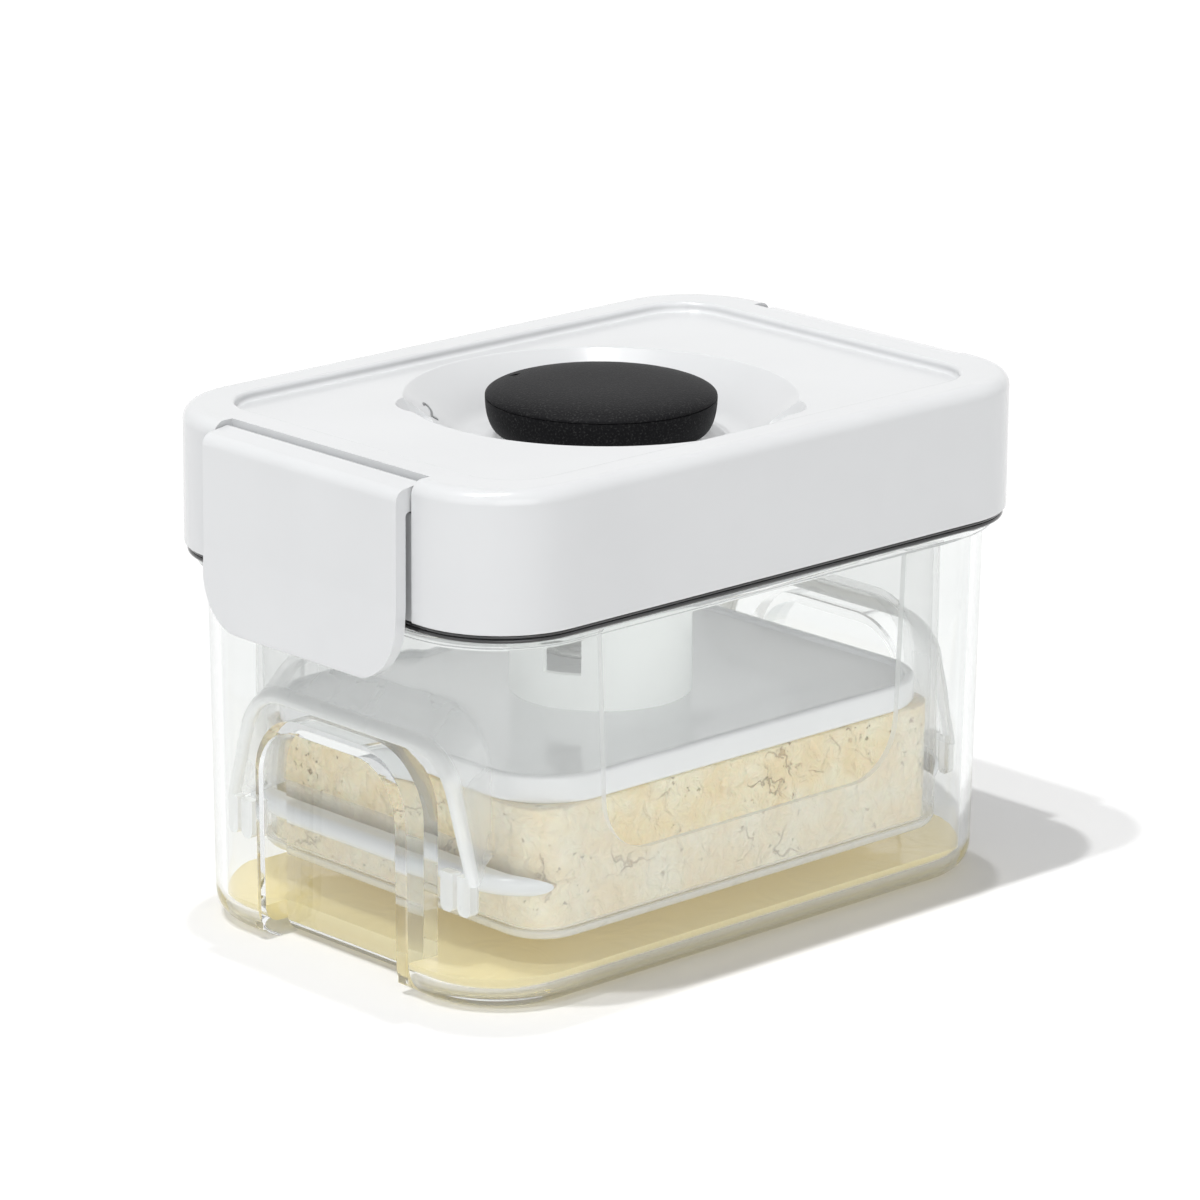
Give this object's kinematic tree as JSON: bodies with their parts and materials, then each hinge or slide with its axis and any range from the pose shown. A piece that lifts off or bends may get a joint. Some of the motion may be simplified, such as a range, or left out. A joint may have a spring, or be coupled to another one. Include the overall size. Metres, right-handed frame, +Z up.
{
  "type": "tofu press",
  "caption": "Spring-loaded tofu press: clear container, drain basket, white lid with two snap clips, and a round push-and-twist knob on a plate.",
  "frame": {"origin": "centre of the container's foot, on the surface it stands on", "axes": "+Z up through the knob, +X along the long side towards the right clip, -Y towards the viewer's long side"},
  "size_m": [0.1742, 0.112, 0.1154],
  "materials": {
    "clear_plastic": "clear, polished",
    "frosted_plastic": "translucent, lightly frosted",
    "white_plastic": "glossy white",
    "black_grip": "soft touch, fine grain",
    "black_plastic": "matte",
    "seal_rubber": "smooth",
    "steel": "plain"
  },
  "bodies": {
    "container": {"container_tub": "clear_plastic"},
    "basket": {"basket": "frosted_plastic"},
    "lid": {"lid_shell": "white_plastic", "lid_liner": "white_plastic", "lid_gasket": "seal_rubber", "liner_screws": "steel", "sleeve_seal": "seal_rubber", "hinge_pin_left": "steel", "hinge_pin_right": "steel"},
    "clip_left": {"clip_left": "white_plastic"},
    "clip_right": {"clip_right": "white_plastic"},
    "carrier": {"spring_guide": "white_plastic", "press_spring": "steel"},
    "knob": {"knob_grip": "black_grip", "knob_core": "black_plastic", "lock_sleeve": "white_plastic", "sleeve_screws": "steel", "pivot_screw": "steel", "pivot_washer": "steel"},
    "plate": {"plunger_tube": "white_plastic", "press_plate": "white_plastic"}
  },
  "joints": [
    {"name": "basket_lift", "type": "slide", "parent": "container", "child": "basket", "axis": [0, 0, 1], "range_m": [0, 0.08]},
    {"name": "lid_lift", "type": "slide", "parent": "basket", "child": "lid", "axis": [0, 0, 1], "range_m": [0, 0.06]},
    {"name": "clip_left_swing", "type": "hinge", "parent": "lid", "child": "clip_left", "pos_m": [-0.081, 0, 0.1106], "axis": [0, 1, 0], "range_deg": [0, 110]},
    {"name": "clip_right_swing", "type": "hinge", "parent": "lid", "child": "clip_right", "pos_m": [0.081, 0, 0.1106], "axis": [0, -1, 0], "range_deg": [0, 110]},
    {"name": "knob_lift", "type": "slide", "parent": "lid", "child": "carrier", "axis": [0, 0, 1], "range_m": [0, 0.022]},
    {"name": "knob_twist", "type": "hinge", "parent": "carrier", "child": "knob", "pos_m": [0, 0, 0.1], "axis": [0, 0, 1], "range_deg": [0, 30]},
    {"name": "plate_follow", "type": "slide", "parent": "carrier", "child": "plate", "axis": [0, 0, 1], "range_m": [0, 0.014], "stiffness_N_per_m": 2000, "springref_m": -0.015, "deforming": ["press_spring"]}
  ]
}
